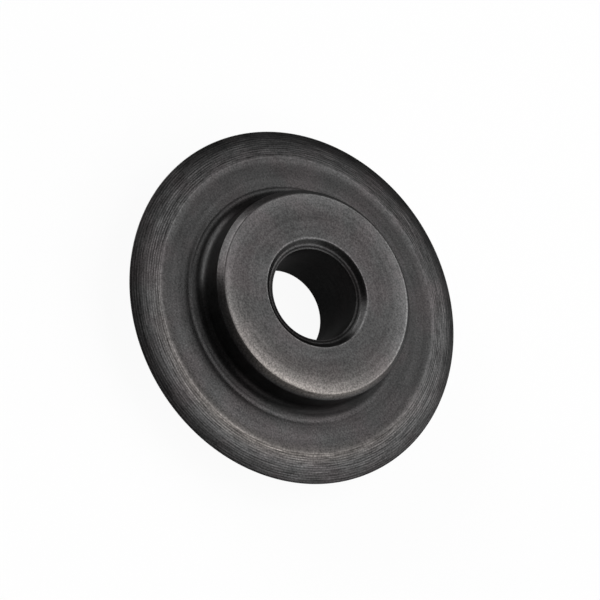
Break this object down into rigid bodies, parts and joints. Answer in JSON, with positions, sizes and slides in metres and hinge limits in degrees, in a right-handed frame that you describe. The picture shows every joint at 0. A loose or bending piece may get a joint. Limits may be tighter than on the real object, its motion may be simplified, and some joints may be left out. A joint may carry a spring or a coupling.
{
  "type": "pipe cutter wheel",
  "caption": "Round hardened steel cutting wheel with a sharp bevelled rim and a plain hub bored for a pin, turned as one piece.",
  "frame": {"origin": "centre of the bore, in the middle plane of the blade", "axes": "+Z along the bore axis; both sides are alike, so +X and +Y lie in the blade's middle plane and have no special direction"},
  "size_m": [0.0188, 0.0188, 0.0046],
  "materials": {
    "blackened_steel": "hardened tool steel, turned all over and black oxide finished, with fine concentric tool marks and slightly burnished edges"
  },
  "bodies": {
    "root": {"cutter_wheel": "blackened_steel"}
  },
  "joints": []
}
